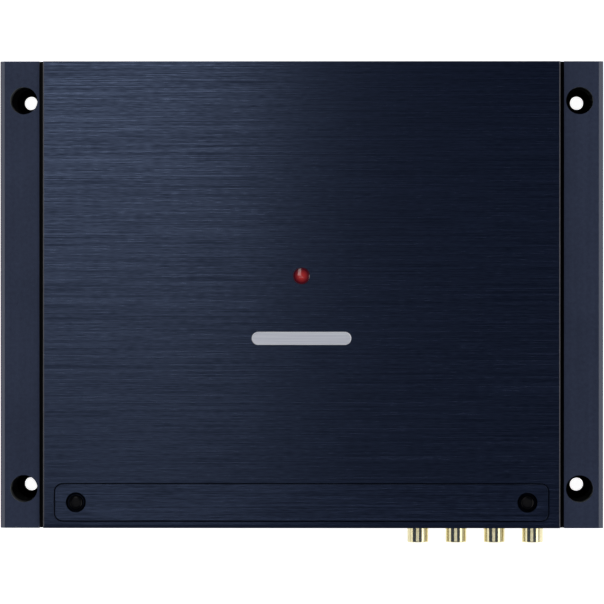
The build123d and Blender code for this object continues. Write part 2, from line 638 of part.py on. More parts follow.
def rca_barrels():
    """The gold outer contacts: a tube with a rounded lip, and a slimmer neck behind it."""
    barrels = []
    for x in RCA_X:
        barrel = rod_y(x, (RCA_TIP, RCA_NECK_Y), RCA_Z, RCA_R[1])
        barrel = fillet(barrel.edges().group_by(Axis.Y)[0], 0.4)
        barrel += rod_y(x, (RCA_NECK_Y, RCA_BACK), RCA_Z, RCA_NECK_R)
        barrels.append(barrel - rod_y(x, (RCA_TIP, RCA_BACK), RCA_Z, RCA_R[0]))
    return barrels


def rca_insulators():
    """Coloured plastic: a plug inside each barrel and a collar round its base."""
    pieces = []
    collar_r, collar_t = RCA_COLLAR
    collar_y = (-END_FACE - collar_t, -END_FACE)
    for x in RCA_X:
        plug = rod_y(x, (RCA_TIP + 0.8, RCA_BACK), RCA_Z, RCA_R[0] - RUNNING)
        plug -= rod_y(x, (RCA_TIP, GRIP_Y[0]), RCA_Z, PHONO_PIN_LOOSE_R)
        pieces.append(plug - rod_y(x, (GRIP_Y[0], RCA_BACK), RCA_Z, CONTACT_R + RUNNING))
        collar = rod_y(x, collar_y, RCA_Z, collar_r)
        collar = chamfer(collar.edges().group_by(Axis.Y)[0], 0.4)
        pieces.append(collar - rod_y(x, collar_y, RCA_Z, RCA_NECK_R + RUNNING))
    return pieces


def rca_centre_contacts():
    """Tubes with a narrow mouth that grips the plug's pin, and a wider bore behind it."""
    contacts = []
    for x in RCA_X:
        tube = rod_y(x, (GRIP_Y[0], RCA_BACK), RCA_Z, CONTACT_R)
        tube -= rod_y(x, GRIP_Y, RCA_Z, PHONO_PIN_R)
        contacts.append(tube - rod_y(x, (GRIP_Y[1], RCA_BACK), RCA_Z, PHONO_PIN_LOOSE_R))
    return contacts


def socket_housing(socket, face, back):
    """A socket's solid body, with a foot that stands on the main board behind the end panel."""
    x, half, z = socket
    foot_front, foot_overlap = SOCKET_FOOT
    housing = block((x - half, x + half), (face, back), z)
    foot_z = (MAIN_BOARD_Z[1], z[0] + foot_overlap)
    return housing + block((x - half, x + half), (foot_front, back), foot_z)


def speaker_input_socket():
    """An eight-way shrouded header."""
    housing = socket_housing(SPEAKER_SOCKET, SPEAKER_FACE, SPEAKER_BACK)
    x, _, z = SPEAKER_SOCKET
    half, mouth_z, floor = SPEAKER_MOUTH
    housing -= block((x - half, x + half), (SPEAKER_FACE, floor), mouth_z)
    key_half, key_end = SPEAKER_KEYWAY
    housing -= block((x - key_half, x + key_half), (SPEAKER_FACE, key_end), (mouth_z[1], z[1]))
    for dx, dz in HEADER_PINS:
        pin_x = (x + dx - PIN_HALF, x + dx + PIN_HALF)
        pin_z = (SOCKET_Z + dz - PIN_HALF, SOCKET_Z + dz + PIN_HALF)
        housing -= block(pin_x, (floor - 0.5, SPEAKER_BACK), pin_z)
    return housing


def remote_socket():
    """A modular socket for the remote level control."""
    housing = socket_housing(REMOTE_SOCKET, REMOTE_FACE, REMOTE_BACK)
    x = REMOTE_SOCKET[0]
    for half, z, floor in (REMOTE_MOUTH, REMOTE_LATCH):
        housing -= block((x - half, x + half), (REMOTE_FACE, floor), z)
    return housing


def socket_pins():
    """The header's square pins and the modular socket's six spring wires."""
    pins = []
    pin_y = (SPEAKER_FACE + 5.6, SPEAKER_BACK + 1.5)
    for dx, dz in HEADER_PINS:
        x, z = SPEAKER_SOCKET[0] + dx, SOCKET_Z + dz
        pins.append(block((x - PIN_HALF, x + PIN_HALF), pin_y, (z - PIN_HALF, z + PIN_HALF)))
    wire_top = REMOTE_MOUTH[1][1]
    for i in range(6):
        x = REMOTE_SOCKET[0] + REMOTE_WIRE_PITCH * (i - 2.5)
        wire_x = (x - REMOTE_WIRE_HALF, x + REMOTE_WIRE_HALF)
        pins.append(block(wire_x, (REMOTE_FACE + 3.1, REMOTE_MOUTH[2]), (wire_top - 0.5, wire_top)))
    return pins


# ---------------------------------------------------------------- output end
def terminal_block(xs, pole):
    """A barrier block with one recess, contact pocket and bush bore for each pole."""
    half_pitch, recess_half, wall, bush_r, _ = pole
    outer = (xs[0] - half_pitch - wall, xs[-1] + half_pitch + wall)
    body = block(outer, (TERMINAL_BACK, TERMINAL_FACE), TERMINAL_Z)
    body = chamfer(body.edges().filter_by(Axis.X).group_by(Axis.Y)[-1], 0.5)
    recess_z = (TERMINAL_Z[0] + TERMINAL_RIM, TERMINAL_Z[1] - TERMINAL_RIM)
    for x in xs:
        recess = (x - recess_half, x + recess_half)
        body -= block(recess, (CONTACT_Y[0], TERMINAL_FACE), recess_z)
        body -= rod_y(x, (BUSH_BORE_Y, CONTACT_Y[0]), TERMINAL_SCREW_Z, bush_r + FIT)
    return body


def terminal_contacts(xs, pole):
    """Flanged bushes: a plate at the bottom of each recess with a threaded bush behind it."""
    _, recess_half, _, bush_r, screw_r = pole
    half = recess_half - 0.2
    z = (TERMINAL_Z[0] + TERMINAL_RIM, TERMINAL_Z[1] - TERMINAL_RIM)
    contacts = []
    for x in xs:
        plate = block((x - half, x + half), CONTACT_Y, z)
        bush = rod_y(x, (BUSH_Y, CONTACT_Y[0] + 0.5), TERMINAL_SCREW_Z, bush_r)
        hole = rod_y(x, (BUSH_Y, CONTACT_Y[1]), TERMINAL_SCREW_Z, screw_r)
        contacts.append(plate + bush - hole)
    return contacts


def terminal_screw(x, shank_r, length, head_r, head_h, washer, washer_t):
    """A pan-head screw, and the square washer that stays on its shank."""
    seat = CONTACT_Y[1] + washer_t
    screw = pan_screw(shank_r, length, head_r, head_h, head_r * 1.35)
    screw = Pos(x, seat, TERMINAL_SCREW_Z) * Rot(X=-90) * screw
    z = (TERMINAL_SCREW_Z - washer / 2, TERMINAL_SCREW_Z + washer / 2)
    plate = block((x - washer / 2, x + washer / 2), (CONTACT_Y[1], seat), z)
    plate = chamfer(plate.edges().filter_by(Axis.Y), washer * 0.08)
    return [screw, plate - rod_y(x, (CONTACT_Y[1], seat), TERMINAL_SCREW_Z, shank_r)]


def fuse_holder():
    """A housing with two pockets, each with a slot for each blade."""
    half, y, past = FUSE_HOLDER
    x_range = (FUSE_X - half, FUSE_X + half)
    foot = FUSE_Z[0] - past
    housing = block(x_range, y, (foot, FUSE_Z[1] + past))
    foot_front, foot_overlap = SOCKET_FOOT
    housing += block(x_range, (y[0], -foot_front), (MAIN_BOARD_Z[1], foot + foot_overlap))
    width, length, thick = FUSE_BODY
    pocket_x = (FUSE_X - width / 2 - FUSE_ROOM, FUSE_X + width / 2 + FUSE_ROOM)
    notch_half, notch_end, notch_past = FINGER_NOTCH
    for middle in FUSE_Z:
        pocket_z = (middle - thick / 2 - FUSE_ROOM, middle + thick / 2 + FUSE_ROOM)
        housing -= block(pocket_x, (FUSE_OUTER - length - FUSE_ROOM, y[1]), pocket_z)
        for x in (FUSE_X - FUSE_BLADE_X, FUSE_X + FUSE_BLADE_X):
            slot_half = FUSE_BLADE[0] / 2 + FUSE_ROOM
            slot_z = (middle - FUSE_CLIP_HALF - RUNNING, middle + FUSE_CLIP_HALF + RUNNING)
            housing -= block((x - slot_half, x + slot_half), FUSE_SLOT_Y, slot_z)
        notch_z = (middle - thick / 2 - notch_past, middle + thick / 2 + notch_past)
        housing -= block((FUSE_X - notch_half, FUSE_X + notch_half), (notch_end, y[1]), notch_z)
    return housing


def fuse_contacts():
    """Folded clips that hold the blades, one in each slot."""
    clips = []
    gap = FUSE_BLADE[2] / 2 + RUNNING
    for middle in FUSE_Z:
        for x in (FUSE_X - FUSE_BLADE_X, FUSE_X + FUSE_BLADE_X):
            width = (x - FUSE_BLADE[0] / 2, x + FUSE_BLADE[0] / 2)
            clip = block(width, FUSE_CLIP_Y, (middle - FUSE_CLIP_HALF, middle + FUSE_CLIP_HALF))
            mouth = block(width, (FUSE_CLIP_FLOOR_Y, FUSE_CLIP_Y[1]), (middle - gap, middle + gap))
            clips.append(clip - mouth)
    return clips


def fuse(middle):
    """A blade fuse: a stepped plastic body and two blades."""
    width, length, thick = FUSE_BODY
    inner = FUSE_OUTER - length
    body_x = (FUSE_X - width / 2, FUSE_X + width / 2)
    body = block(body_x, (inner, FUSE_OUTER), (middle - thick / 2, middle + thick / 2))
    body = chamfer(body.edges().filter_by(Axis.Z), 0.8)
    waist = (FUSE_X - 5.6, FUSE_X + 5.6)
    for side in (-1, 1):
        face = sorted((middle + side * thick / 2, middle + side * (thick / 2 - 0.7)))
        body -= block(waist, (inner, FUSE_OUTER - 4.6), face)
    blades = []
    for x in (FUSE_X - FUSE_BLADE_X, FUSE_X + FUSE_BLADE_X):
        y = (inner - FUSE_BLADE[1], inner)
        z = (middle - FUSE_BLADE[2] / 2, middle + FUSE_BLADE[2] / 2)
        blade = block((x - FUSE_BLADE[0] / 2, x + FUSE_BLADE[0] / 2), y, z)
        blades.append(chamfer(blade.edges().filter_by(Axis.Z).group_by(Axis.Y)[0], 0.9))
    return [body, *blades]


# ---------------------------------------------------------------- power parts
def power_transistors():
    """Twelve flat power transistors standing against the chassis walls."""
    devices = []
    back = WALL_X[0] - PAD_T
    tab_t, full_t = TRANSISTOR_T
    foot, case_top, tab_top = TRANSISTOR_Z
    for y in TRANSISTOR_Y:
        y_range = (y - TRANSISTOR_HALF, y + TRANSISTOR_HALF)
        tab = block((back - tab_t, back), y_range, (foot, tab_top))
        tab -= rod_x((back - tab_t, back), y, tab_top - 2.9, 1.8)
        case = block((back - full_t, back - tab_t), y_range, (foot, case_top))
        device = tab + chamfer(case.edges().filter_by(Axis.Z).group_by(Axis.X)[0], 0.5)
        for dy in (-LEAD_PITCH, 0, LEAD_PITCH):
            lead_y = (y + dy - 0.4, y + dy + 0.4)
            lead_x = (back - LEAD_X[1], back - LEAD_X[0])
            device += block(lead_x, lead_y, (MAIN_BOARD_Z[1], foot))
        devices += [device, mirrored(device)]
    return devices


def transistor_clamps():
    """A steel bar on each side that presses the transistors to the wall."""
    bar = block(CLAMP_X, (-CLAMP_HALF_Y, CLAMP_HALF_Y), CLAMP_Z)
    for y in CLAMP_SCREW_Y:
        bar -= rod_x(CLAMP_X, y, CLAMP_SCREW_Z, M3_HOLE_R + FIT)
    return [bar, mirrored(bar)]


def thermal_pads():
    pad_x = (WALL_X[0] - PAD_T, WALL_X[0])
    pad = block(pad_x, (-CLAMP_HALF_Y, CLAMP_HALF_Y), PAD_Z)
    for y in CLAMP_SCREW_Y:
        pad -= rod_x(pad_x, y, CLAMP_SCREW_Z, M3_HOLE_R + FIT)
    return [pad, mirrored(pad)]


def transformer():
    """The supply transformer: a ring core inside a winding that covers it."""
    x, y = TRANSFORMER_XY
    core_z = [MAIN_BOARD_Z[1] + lift for lift in CORE_LIFT]
    core = rod_z(x, y, core_z, CORE_R[1]) - rod_z(x, y, core_z, CORE_R[0])
    wound_z = [MAIN_BOARD_Z[1] + lift for lift in WINDING_LIFT]
    wound = rod_z(x, y, wound_z, WINDING_R[1]) - rod_z(x, y, wound_z, WINDING_R[0])
    wound = fillet(wound.edges(), 3.2)
    hollow_z = (core_z[0] - FIT, core_z[1] + FIT)
    hollow = rod_z(x, y, hollow_z, CORE_R[1] + FIT) - rod_z(x, y, hollow_z, CORE_R[0] - FIT)
    return core, wound - hollow


def output_inductors():
    """Four shielded chokes, one for each channel."""
    chokes = []
    side, height = INDUCTOR_SIZE
    z = (MAIN_BOARD_Z[1], MAIN_BOARD_Z[1] + height)
    for x, y in INDUCTORS:
        choke = block((x - side / 2, x + side / 2), (y - side / 2, y + side / 2), z)
        choke = chamfer(choke.edges().filter_by(Axis.Z), 2.2)
        chokes.append(fillet(choke.edges().group_by(Axis.Z)[-1], 0.8))
    return chokes


def capacitors():
    """The upright electrolytic capacitors, each with a crimp groove near its foot."""
    cans = []
    for x, y, r, height in CAPACITORS:
        base = MAIN_BOARD_Z[1]
        can = rod_z(x, y, (base, base + height), r)
        can = fillet(can.edges().group_by(Axis.Z)[-1], 1.0)
        groove = Pos(x, y, base + 3.2) * Torus(r + 0.35, 0.8)
        cans.append(can - groove)
    return cans


# ---------------------------------------------------------------- assembly
def main():
    os.makedirs("parts", exist_ok=True)
    rail = side_rail()
    save("side_rail_right", rail)
    save("side_rail_left", mirrored(rail))
    save("heatsink_chassis", heatsink_chassis())
    save("top_panel", top_panel())
    save("bottom_cover", bottom_cover())
    save("input_end_panel", input_end_panel())
    save("output_end_panel", output_end_panel())
    save("case_screws", *case_screws())
    save("rail_screws", *rail_screws())
    save("badge_plate", badge_plate())
    save("indicator_lens", indicator_lens())

    save("control_cover", control_cover())
    save("cover_screws", *cover_screws())
    save("control_bezel", control_bezel())
    for name, x in KNOB_X.items():
        save(name, knob(x))
    for name, x in SWITCH_X.items():
        save(name, switch_lever(x))
    save("pot_bodies", *pot_bodies())
    save("switch_bodies", *switch_bodies())

    save("main_board", main_board())
    save("control_board", control_board())
    save("board_pillars", *board_pillars())
    save("inner_screws", *inner_screws())

    save("rca_block", rca_block())
    save("rca_barrels", *rca_barrels())
    save("rca_insulators", *rca_insulators())
    save("rca_centre_contacts", *rca_centre_contacts())
    save("speaker_input_socket", speaker_input_socket())
    save("remote_socket", remote_socket())
    save("socket_pins", *socket_pins())

    terminals = {
        "power": (POWER_X, POWER_POLE, POWER_SCREW),
        "speaker": (SPEAKER_X, SPEAKER_POLE, SPEAKER_SCREW),
    }
    for kind, (xs, pole, screw) in terminals.items():
        save(f"{kind}_terminal_block", terminal_block(xs, pole))
        save(f"{kind}_terminal_contacts", *terminal_contacts(xs, pole))
        for i, x in enumerate(xs, 1):
            save(f"{kind}_terminal_screw_{i}", *terminal_screw(x, *screw))
    save("fuse_holder", fuse_holder())
    save("fuse_contacts", *fuse_contacts())
    for i, middle in enumerate(FUSE_Z, 1):
        save(f"fuse_{i}", *fuse(middle))

    save("power_transistors", *power_transistors())
    save("transistor_clamps", *transistor_clamps())
    save("thermal_pads", *thermal_pads())
    core, winding = transformer()
    save("transformer_core", core)
    save("transformer_winding", winding)
    save("output_inductors", *output_inductors())
    save("capacitors", *capacitors())


main()
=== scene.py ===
"""Looks for the car amplifier: a finish for every CAD piece, and a plain studio."""

import json

import bmesh
import bpy
from mathutils import Matrix, Vector


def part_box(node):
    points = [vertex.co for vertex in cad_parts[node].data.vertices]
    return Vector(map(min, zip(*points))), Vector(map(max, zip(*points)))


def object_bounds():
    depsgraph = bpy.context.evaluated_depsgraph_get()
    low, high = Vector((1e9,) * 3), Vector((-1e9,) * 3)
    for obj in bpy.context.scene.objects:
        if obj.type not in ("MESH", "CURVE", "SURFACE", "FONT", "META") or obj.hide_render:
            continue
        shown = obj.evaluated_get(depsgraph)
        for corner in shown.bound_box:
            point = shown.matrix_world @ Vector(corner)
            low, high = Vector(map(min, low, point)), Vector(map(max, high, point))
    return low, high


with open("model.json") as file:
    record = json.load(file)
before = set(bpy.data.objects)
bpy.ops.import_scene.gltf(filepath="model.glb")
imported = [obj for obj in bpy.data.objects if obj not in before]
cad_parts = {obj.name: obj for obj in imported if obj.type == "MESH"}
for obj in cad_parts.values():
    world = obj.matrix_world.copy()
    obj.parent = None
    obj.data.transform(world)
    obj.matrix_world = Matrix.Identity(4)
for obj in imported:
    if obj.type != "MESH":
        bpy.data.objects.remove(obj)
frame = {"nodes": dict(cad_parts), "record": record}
CAD_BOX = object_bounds()
NODES = frame["nodes"]
MM = 0.001

# ---------------------------------------------------------------- places, all read from the frame
PANEL_LOW, PANEL_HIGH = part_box("top_panel")
RAIL_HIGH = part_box("side_rail_right")[1]
LENS_LOW, LENS_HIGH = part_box("indicator_lens")
LENS_MIDDLE = (LENS_LOW + LENS_HIGH) / 2
MOUNTS = {mount["name"]: mount for mount in frame["record"]["mounts"]}
HOLES = MOUNTS["mounting_holes"]["dims"]
HOLE_X = HOLES["spacing_x_mm"] / 2 * MM
HOLE_Y = HOLES["spacing_y_mm"] / 2 * MM
JACK_X = [MOUNTS[f"phono_shell_{i}"]["pos_m"][0] for i in (1, 2, 3, 4)]

# ---------------------------------------------------------------- sizes
EDGE = 0.04 * MM  # width over which one finish gives way to another
PANEL_CHAMFER = 0.4 * MM
PANEL_PAINTED_SHADE = (0.9 * MM, 0.22 * MM)  # depths in a gap where the painted shade is full, and where it starts
PANEL_FRONT_FACE = 1.4 * MM  # kept out of the painted shade, as is the back face
PANEL_BACK_FACE = 0.2 * MM
RAIL_CHAMFER = 1.7 * MM
CHAMFER_OVERLAP = 0.02 * MM
RAIL_LIP_X = 100.05 * MM
COUNTERBORE_R = 5.2 * MM
BORE_PAINTED_SHADE = (14 * MM, 2 * MM)  # depths down a counterbore: where the wall's painted shade is full black, and where it has faded to the painted light near the top
BORE_DULL = 18 * MM  # depth where the wall is fully rough
TAB_THICKNESS = 1.35 * MM
BOARD_BLOCK = 9 * MM  # size of the blocks that the board's tracks go round
LENS_RIM = (0.9 * MM, 2.6 * MM)  # radii between which the lens darkens

WIRE_TURNS = 84.0  # wave crests round the ring, in radians of phase for each radian
PAD_LEVEL = 0.68  # noise above this is a tinned pad
NOISE_MIDDLE = (0.3, 0.7)  # where most of a noise's values lie


# ---------------------------------------------------------------- node graphs
class Graph:
    """One material's nodes. Places are in metres in the row's frame."""

    def __init__(self, name, **settings):
        self.material = bpy.data.materials.new(name)
        self.material.use_nodes = True
        self.nodes = self.material.node_tree.nodes
        self.links = self.material.node_tree.links
        self.nodes.clear()
        self.shader = self.nodes.new("ShaderNodeBsdfPrincipled")
        output = self.nodes.new("ShaderNodeOutputMaterial")
        self.links.new(self.shader.outputs[0], output.inputs["Surface"])
        self.place = self.nodes.new("ShaderNodeTexCoord").outputs["Object"]
        axes = self.nodes.new("ShaderNodeSeparateXYZ")
        self.links.new(self.place, axes.inputs[0])
        self.x, self.y, self.z = axes.outputs
        self.set(**settings)

    def set(self, **settings):
        """Feeds the shader's inputs, with each name in lower case and _ for a space."""
        for name, value in settings.items():
            wanted = name.replace("_", " ")
            socket = next(s for s in self.shader.inputs if s.name.lower() == wanted)
            self.feed(socket, value)

    def feed(self, socket, value):
        """Links a node's output to the socket, or sets the socket to a number, vector or colour."""
        if isinstance(value, bpy.types.NodeSocket):
            self.links.new(value, socket)
        elif socket.type == "RGBA" and len(value) == 3:
            socket.default_value = (*value, 1.0)
        else:
            socket.default_value = value

    def math(self, operation, *values):
        """The result of a Math node."""
        node = self.nodes.new("ShaderNodeMath")
        node.operation = operation
        for socket, value in zip(node.inputs, values):
            self.feed(socket, value)
        return node.outputs[0]

    def total(self, *values):
        """The values added up."""
        result = values[0]
        for value in values[1:]:
            result = self.math("ADD", result, value)
        return result

    def times(self, *values):
        """The values multiplied together."""
        result = values[0]
        for value in values[1:]:
            result = self.math("MULTIPLY", result, value)
        return result

    def blend(self, *parts):
        """A weighted sum of (value, weight) pairs."""
        return self.total(*(self.times(value, weight) for value, weight in parts))

    def range(self, value, low, high, to_low=0.0, to_high=1.0):
        """Maps low..high to to_low..to_high, and holds it there outside."""
        node = self.nodes.new("ShaderNodeMapRange")
        for socket, number in zip(node.inputs, (value, low, high, to_low, to_high)):
            self.feed(socket, number)
        return node.outputs[0]

    def spread(self, noise, to_low=0.0, to_high=1.0):
        """Maps the middle of a noise's values to to_low..to_high."""
        return self.range(noise, *NOISE_MIDDLE, to_low, to_high)

    def above(self, value, level):
        """1 where the value is over the level, and 0 below it."""
        return self.range(value, level - EDGE, level)

    def below(self, value, level):
        """1 where the value is under the level, and 0 above it."""
        return self.range(value, level, level + EDGE, 1.0, 0.0)

    def distance(self, x, y, from_x, from_y):
        """How far the point x, y is from another."""
        across = self.math("SUBTRACT", x, from_x)
        along = self.math("SUBTRACT", y, from_y)
        return self.math("SQRT", self.total(self.times(across, across), self.times(along, along)))

    def noise(self, per_metre, detail=2.0, shift=0.0, place=None):
        """Noise with that many features in a metre along X, Y and Z."""
        mapping = self.nodes.new("ShaderNodeMapping")
        self.feed(mapping.inputs["Vector"], place or self.place)
        self.feed(mapping.inputs["Scale"], per_metre)
        self.feed(mapping.inputs["Location"], (shift, shift, shift))
        node = self.nodes.new("ShaderNodeTexNoise")
        self.feed(node.inputs["Vector"], mapping.outputs[0])
        self.feed(node.inputs["Scale"], 1.0)
        self.feed(node.inputs["Detail"], detail)
        return node.outputs[0]

    def mix(self, factor, first, second):
        """The first colour where the factor is 0, and the second where it is 1."""
        node = self.nodes.new("ShaderNodeMix")
        node.data_type = "RGBA"
        self.feed(node.inputs[0], factor)
        self.feed(node.inputs[6], first)
        self.feed(node.inputs[7], second)
        return node.outputs[2]

    def bump(self, height, depth):
        """Bends the normal for a height that goes from 0 to depth metres."""
        node = self.nodes.new("ShaderNodeBump")
        self.feed(node.inputs["Height"], height)
        self.feed(node.inputs["Distance"], depth)
        self.set(normal=node.outputs[0])

    def tangent(self, axis):
        """Turns the stretched highlight round an axis."""
        node = self.nodes.new("ShaderNodeTangent")
        node.direction_type = "RADIAL"
        node.axis = axis
        self.set(tangent=node.outputs[0])


def even(size):
    """Noise scale for features of one size, in metres, in every direction."""
    return (1 / size, 1 / size, 1 / size)


# ---------------------------------------------------------------- the case's finishes
BLUE_DEEP = (0.021, 0.030, 0.054)
BLUE_PALE = (0.053, 0.070, 0.114)
# painted shade: the near-black navy painted down the panel's gaps and dimples
BLUE_PAINTED_SHADE = (0.004, 0.006, 0.014)
CUT_METAL = (0.10, 0.10, 0.11)


def brushed_panel(name, shift, pale):
    """Dark blue anodised sheet with a brush grain along X and bright cut chamfers at its sides; its
    walls in gaps and dimples are painted darker with depth, a painted shade.
    """
    g = Graph(name, metallic=0.92, anisotropic=0.85, specular_ior_level=0.95)
    folded = g.nodes.new("ShaderNodeCombineXYZ")
    g.feed(folded.inputs[0], g.x)
    g.feed(folded.inputs[1], g.math("ADD", g.y, g.z))
    brush = folded.outputs[0]
    long = g.noise((16, 3100, 1), 0.0, shift, brush)
    middle = g.noise((70, 2700, 1), 0.0, shift + 3, brush)
    short = g.noise((300, 3300, 1), 0.0, shift + 7, brush)
    broad = g.noise((7, 900, 1), 0.0, shift + 5, brush)
    streak = g.blend((long, 0.32), (middle, 0.26), (short, 0.28), (broad, 0.14))
    tone = g.range(streak, 0.38, 0.66)
    blue = g.mix(tone, BLUE_DEEP, tuple(pale * channel for channel in BLUE_PALE))
    across = g.math("ABSOLUTE", g.x)
    chamfer_foot = PANEL_HIGH.z - PANEL_CHAMFER
    cut = g.times(g.above(across, PANEL_HIGH.x - PANEL_CHAMFER), g.above(g.z, chamfer_foot))
    full, start = (PANEL_HIGH.z - depth for depth in PANEL_PAINTED_SHADE)
    # painted shade: the sheet's walls below its top face, in gaps and dimples, go to near-black navy
    # with depth
    painted_gap_shade = g.times(g.range(g.z, full, start, 1.0, 0.0),
                   g.above(g.y, PANEL_LOW.y + PANEL_FRONT_FACE),
                   g.below(g.y, PANEL_HIGH.y - PANEL_BACK_FACE),
                   g.below(g.z, chamfer_foot))
    with_painted_shade = g.mix(painted_gap_shade, blue, BLUE_PAINTED_SHADE)
    g.set(base_color=g.mix(cut, with_painted_shade, CUT_METAL))
    g.set(roughness=g.range(streak, 0.33, 0.67, 0.42, 0.25))
    g.bump(streak, 0.015 * MM)
    g.tangent("X")
    return g.material


def rail_metal():
    """Matte anodised extrusion with a bright machined chamfer along its outer top edge; the
    counterbores and the groove by the panel are painted near black as painted shade, and each bore wall
    is painted lighter towards its top as painted light.
    """
    g = Graph("rail_anodised", metallic=0.1, specular_ior_level=0.15)
    grain = g.noise(even(0.3 * MM), 3.0)
    cloud = g.noise(even(30 * MM), 3.0, 5)
    mottle = g.noise(even(1.4 * MM), 2.0, 8)
    lines = g.noise((700, 10, 700), 2.0, 2)
    tone = g.blend((cloud, 0.35), (mottle, 0.25), (grain, 0.25), (lines, 0.15))
    blue = g.mix(g.range(tone, 0.38, 0.62), (0.038, 0.048, 0.080), (0.057, 0.071, 0.116))
    across = g.math("ABSOLUTE", g.x)
    outer_edge = RAIL_HIGH.x + RAIL_HIGH.z - RAIL_CHAMFER
    cut = g.times(g.above(g.math("ADD", across, g.z), outer_edge - CHAMFER_OVERLAP),
                  g.above(across, RAIL_HIGH.x - RAIL_CHAMFER))
    blue = g.mix(cut, blue, (0.10, 0.11, 0.14))
    from_hole = g.distance(across, g.math("ABSOLUTE", g.y), HOLE_X, HOLE_Y)
    under_top = g.below(g.z, RAIL_HIGH.z - 2 * EDGE)
    # painted shade: the counterbore walls and the groove walls are painted near black; painted light:
    # each bore wall is painted lighter towards its top
    bored = g.times(g.below(from_hole, COUNTERBORE_R + EDGE), under_top)
    groove_painted_shade = g.times(g.below(across, RAIL_LIP_X + EDGE / 2), under_top)
    black, start = (RAIL_HIGH.z - depth for depth in BORE_PAINTED_SHADE)
    rim = g.times(bored, g.range(g.z, black, start))
    bore_wall_painted_shade_and_light = g.mix(rim, (0.003, 0.003, 0.004), (0.17, 0.185, 0.185))
    g.set(base_color=g.mix(g.math("MAXIMUM", bored, groove_painted_shade), blue, bore_wall_painted_shade_and_light))
    rough = g.math("SUBTRACT", g.spread(tone, 0.52, 0.64), g.times(cut, 0.15))
    dull = g.times(bored, g.range(g.z, RAIL_HIGH.z - BORE_DULL, RAIL_HIGH.z, 1.0, 0.0))
    g.set(roughness=g.math("MAXIMUM", rough, dull))
    g.bump(g.blend((grain, 0.6), (lines, 0.4)), 0.012 * MM)
    return g.material


def anodised_case():
    """The chassis: a dark extrusion with die lines along its length."""
    g = Graph("case_anodised", metallic=0.6)
    lines = g.noise((700, 9, 700), 2.0)
    g.set(base_color=g.mix(lines, (0.012, 0.014, 0.022), (0.024, 0.028, 0.044)))
    g.set(roughness=g.spread(lines, 0.5, 0.65))
    g.bump(lines, 0.02 * MM)
    return g.material


def powder_coat():
    """Black powder coat with its orange-peel texture."""
    g = Graph("black_steel", specular_ior_level=0.45)
    peel = g.noise(even(0.45 * MM), 3.0)
    cloud = g.noise(even(22 * MM), 2.0, 4)
    g.set(base_color=g.mix(g.spread(cloud), (0.009, 0.009, 0.011), (0.020, 0.020, 0.023)))
    g.set(roughness=g.spread(peel, 0.42, 0.60))
    g.bump(peel, 0.07 * MM)
    return g.material


# ---------------------------------------------------------------- metals
def worn_metal(name, dark, light, rough):
    """Plated or blackened metal, with faint stains and a fine grain."""
    g = Graph(name, metallic=1.0)
    grain = g.noise(even(0.3 * MM), 3.0)
    stain = g.noise(even(4 * MM), 3.0, 9)
    tone = g.spread(g.blend((grain, 0.5), (stain, 0.5)))
    g.set(base_color=g.mix(tone, dark, light))
    g.set(roughness=g.range(tone, 0.0, 1.0, rough, rough + 0.15))
    g.bump(grain, 0.006 * MM)
    return g.material


def gold_plate():
    """Pale gold with faint turning marks round each barrel."""
    g = Graph("gold_plate", metallic=0.8)
    turning = g.noise((4, 5200, 4), 2.0)
    stain = g.noise(even(3 * MM), 3.0, 4)
    g.set(base_color=g.mix(g.spread(stain), (0.72, 0.64, 0.37), (0.82, 0.75, 0.47)))
    g.set(roughness=g.spread(turning, 0.08, 0.15))
    g.bump(turning, 0.002 * MM)
    return g.material


def bright_metal():
    """Pale satin trim with a fine grain along X."""
    g = Graph("bright_metal", metallic=0.15)
    lines = g.noise((40, 2500, 400), 2.0)
    g.set(base_color=g.mix(g.range(lines, 0.35, 0.65), (0.86, 0.86, 0.88), (0.98, 0.98, 0.98)))
    g.set(roughness=g.spread(lines, 0.3, 0.4))
    g.bump(lines, 0.003 * MM)
    return g.material


# ---------------------------------------------------------------- plastics and electrical finishes
def moulded(name, dark, light, rough=0.45, **settings):
    """Moulded plastic with a fine spark-eroded texture."""
    g = Graph(name, **settings)
    grain = g.noise(even(0.18 * MM), 3.0)
    cloud = g.noise(even(9 * MM), 2.0, 6)
    g.set(base_color=g.mix(g.spread(cloud), dark, light))
    g.set(roughness=g.spread(grain, rough - 0.06, rough + 0.08))
    g.bump(grain, 0.02 * MM)
    return g.material


def red_lens():
    """Tinted acrylic, paler in the middle where the light pipe stands behind it."""
    g = Graph("red_lens", coat_weight=1.0, coat_roughness=0.05, transmission_weight=0.2)
    swirl = g.noise(even(1.6 * MM), 3.0)
    rim = g.range(g.distance(g.x, g.y, LENS_MIDDLE.x, LENS_MIDDLE.y), *LENS_RIM)
    g.set(base_color=g.mix(rim, (0.72, 0.050, 0.035), (0.055, 0.001, 0.002)))
    g.set(roughness=g.spread(swirl, 0.10, 0.20))
    g.set(emission_color=(0.9, 0.03, 0.02), emission_strength=0.03)
    g.bump(swirl, 0.004 * MM)
    return g.material


def phono_plastic():
    """White and red mouldings by turns, one for each jack."""
    g = Graph("jack_plastic", coat_weight=0.3, coat_roughness=0.2)
    grain = g.noise(even(0.3 * MM), 2.0)
    pitch = JACK_X[1] - JACK_X[0]
    along = g.math("SUBTRACT", g.x, JACK_X[0] - pitch / 2)
    turn = g.math("MODULO", g.math("DIVIDE", along, pitch), 2.0)
    red = g.math("GREATER_THAN", turn, 1.0)
    g.set(base_color=g.mix(red, (0.70, 0.69, 0.63), (0.42, 0.010, 0.010)))
    g.set(roughness=g.spread(grain, 0.26, 0.36))
    g.bump(grain, 0.004 * MM)
    return g.material


